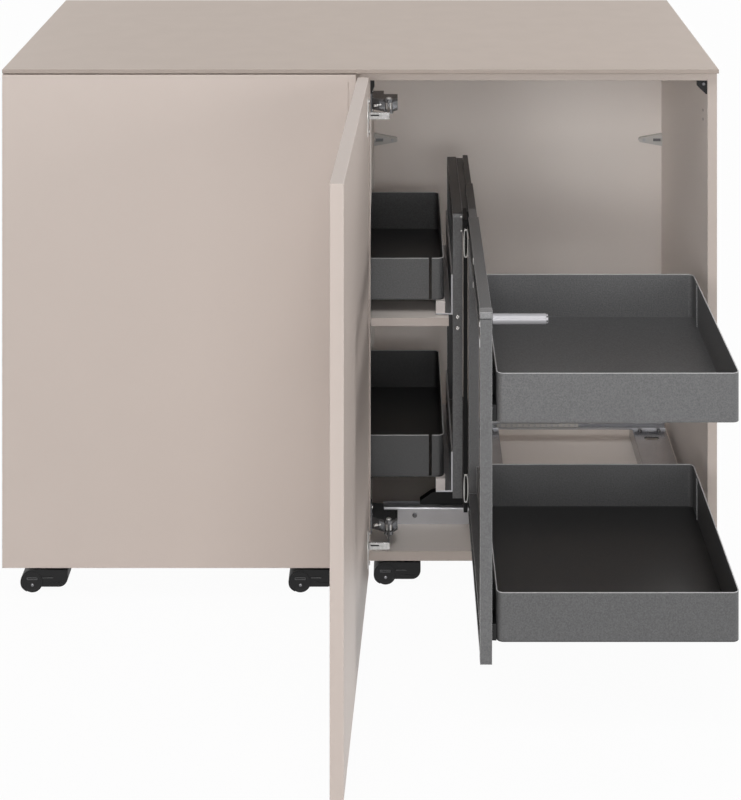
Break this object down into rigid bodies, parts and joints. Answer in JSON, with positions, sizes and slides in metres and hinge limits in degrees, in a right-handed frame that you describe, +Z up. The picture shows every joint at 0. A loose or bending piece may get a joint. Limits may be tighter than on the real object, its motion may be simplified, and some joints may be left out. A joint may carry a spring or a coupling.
{
  "type": "corner base cabinet with pull-out trays",
  "caption": "Wide corner base cabinet on castors: a closed module and a door module whose tray unit pulls out and draws rear trays sideways into the opening.",
  "frame": {"origin": "on the floor, below the middle of the box round the object with its door open and front unit out", "axes": "+X to the right of someone facing the door, +Y to the back, +Z up"},
  "size_m": [1.2, 1.2225, 0.9],
  "materials": {
    "board": "matt cashmere lacquer",
    "worktop": "matt compact laminate",
    "anthracite_steel": "fine-textured anthracite powder coat",
    "zinc_steel": "bright zinc plating",
    "chrome": "polished nickel",
    "dark_nickel": "black nickel",
    "satin_metal": "satin",
    "black_plastic": "black moulded plastic",
    "white_plastic": "white moulded plastic",
    "grey_plastic": "light grey moulded plastic",
    "castor_tread": "soft black tread"
  },
  "bodies": {
    "cabinet": {"left_outer_side": "board", "left_inner_side": "board", "left_bottom": "board", "left_top": "board", "left_back": "board", "right_inner_side": "board", "right_outer_side": "board", "right_bottom": "board", "right_top": "board", "right_back": "board", "shelf": "board", "fixed_front": "board", "worktop": "worktop", "shelf_supports": "zinc_steel", "wall_brackets": "grey_plastic", "corner_gussets": "black_plastic", "hinge_plates": "chrome", "hinge_arms": "dark_nickel", "bridge_plates": "zinc_steel", "front_rail": "zinc_steel", "rear_rail": "zinc_steel", "castor_plates": "black_plastic"},
    "door": {"door_panel": "board", "hinge_cups": "chrome"},
    "hinge_link_pair": {"hinge_links": "chrome"},
    "carriage": {"carriage_frame": "anthracite_steel", "carriage_shoe": "black_plastic", "rear_slider": "zinc_steel", "runner_bars": "anthracite_steel", "guide_frame": "anthracite_steel", "catches": "chrome", "upper_rear_tray": "anthracite_steel", "lower_rear_tray": "anthracite_steel", "rear_tray_carriers": "zinc_steel", "rear_tray_clips": "white_plastic"},
    "runner_pair": {"runner_middles": "zinc_steel"},
    "front_unit": {"front_frame": "anthracite_steel", "post_cap": "anthracite_steel", "handle": "satin_metal", "upper_front_tray": "anthracite_steel", "lower_front_tray": "anthracite_steel", "front_tray_hooks": "black_plastic"},
    "castor_1": {"castor_1_housing": "black_plastic"},
    "castor_1_roller": {"castor_1_wheels": "castor_tread"},
    "castor_2": {"castor_2_housing": "black_plastic"},
    "castor_2_roller": {"castor_2_wheels": "castor_tread"},
    "castor_3": {"castor_3_housing": "black_plastic"},
    "castor_3_roller": {"castor_3_wheels": "castor_tread"},
    "castor_4": {"castor_4_housing": "black_plastic"},
    "castor_4_roller": {"castor_4_wheels": "castor_tread"},
    "castor_5": {"castor_5_housing": "black_plastic"},
    "castor_5_roller": {"castor_5_wheels": "castor_tread"},
    "castor_6": {"castor_6_housing": "black_plastic"},
    "castor_6_roller": {"castor_6_wheels": "castor_tread"},
    "castor_7": {"castor_7_housing": "black_plastic"},
    "castor_7_roller": {"castor_7_wheels": "castor_tread"},
    "castor_8": {"castor_8_housing": "black_plastic"},
    "castor_8_roller": {"castor_8_wheels": "castor_tread"}
  },
  "joints": [
    {"name": "front_pull_out", "type": "slide", "parent": "carriage", "child": "front_unit", "axis": [0, -1, 0], "range_m": [-0.48, 0]},
    {"name": "runner_slide", "type": "slide", "parent": "carriage", "child": "runner_pair", "axis": [0, -1, 0], "range_m": [-0.24, 0]},
    {"name": "carriage_slide", "type": "slide", "parent": "cabinet", "child": "carriage", "axis": [1, 0, 0], "range_m": [0, 0.36]},
    {"name": "door_hinge", "type": "hinge", "parent": "cabinet", "child": "door", "pos_m": [-0.013, 0.00235, 0], "axis": [0, 0, 1], "range_deg": [0, 92.3]},
    {"name": "hinge_link_swing", "type": "hinge", "parent": "cabinet", "child": "hinge_link_pair", "pos_m": [0.047, 0.03825, 0], "axis": [0, 0, 1], "range_deg": [0, 120]},
    {"name": "castor_1_swivel", "type": "hinge", "parent": "cabinet", "child": "castor_1", "pos_m": [-0.5205, 0.07725, 0.0655], "axis": [0, 0, 1], "continuous": true},
    {"name": "castor_1_roll", "type": "hinge", "parent": "castor_1", "child": "castor_1_roller", "pos_m": [-0.5585, 0.07725, 0.018], "axis": [0, 1, 0], "continuous": true},
    {"name": "castor_2_swivel", "type": "hinge", "parent": "cabinet", "child": "castor_2", "pos_m": [-0.065, 0.07725, 0.0655], "axis": [0, 0, 1], "continuous": true},
    {"name": "castor_2_roll", "type": "hinge", "parent": "castor_2", "child": "castor_2_roller", "pos_m": [-0.103, 0.07725, 0.018], "axis": [0, 1, 0], "continuous": true},
    {"name": "castor_3_swivel", "type": "hinge", "parent": "cabinet", "child": "castor_3", "pos_m": [-0.5205, 0.54525, 0.0655], "axis": [0, 0, 1], "continuous": true},
    {"name": "castor_3_roll", "type": "hinge", "parent": "castor_3", "child": "castor_3_roller", "pos_m": [-0.5585, 0.54525, 0.018], "axis": [0, 1, 0], "continuous": true},
    {"name": "castor_4_swivel", "type": "hinge", "parent": "cabinet", "child": "castor_4", "pos_m": [-0.065, 0.54525, 0.0655], "axis": [0, 0, 1], "continuous": true},
    {"name": "castor_4_roll", "type": "hinge", "parent": "castor_4", "child": "castor_4_roller", "pos_m": [-0.103, 0.54525, 0.018], "axis": [0, 1, 0], "continuous": true},
    {"name": "castor_5_swivel", "type": "hinge", "parent": "cabinet", "child": "castor_5", "pos_m": [0.0795, 0.10325, 0.0655], "axis": [0, 0, 1], "continuous": true},
    {"name": "castor_5_roll", "type": "hinge", "parent": "castor_5", "child": "castor_5_roller", "pos_m": [0.0415, 0.10325, 0.018], "axis": [0, 1, 0], "continuous": true},
    {"name": "castor_6_swivel", "type": "hinge", "parent": "cabinet", "child": "castor_6", "pos_m": [0.535, 0.10325, 0.0655], "axis": [0, 0, 1], "continuous": true},
    {"name": "castor_6_roll", "type": "hinge", "parent": "castor_6", "child": "castor_6_roller", "pos_m": [0.497, 0.10325, 0.018], "axis": [0, 1, 0], "continuous": true},
    {"name": "castor_7_swivel", "type": "hinge", "parent": "cabinet", "child": "castor_7", "pos_m": [0.0795, 0.54525, 0.0655], "axis": [0, 0, 1], "continuous": true},
    {"name": "castor_7_roll", "type": "hinge", "parent": "castor_7", "child": "castor_7_roller", "pos_m": [0.0415, 0.54525, 0.018], "axis": [0, 1, 0], "continuous": true},
    {"name": "castor_8_swivel", "type": "hinge", "parent": "cabinet", "child": "castor_8", "pos_m": [0.535, 0.54525, 0.0655], "axis": [0, 0, 1], "continuous": true},
    {"name": "castor_8_roll", "type": "hinge", "parent": "castor_8", "child": "castor_8_roller", "pos_m": [0.497, 0.54525, 0.018], "axis": [0, 1, 0], "continuous": true}
  ],
  "couplings": [
    {"joint": "runner_slide", "follows": "front_pull_out", "ratio": 0.5},
    {"joint": "door_hinge", "follows": "front_pull_out", "rad_per_m": -3.3561},
    {"joint": "hinge_link_swing", "follows": "front_pull_out", "rad_per_m": -4.345}
  ]
}
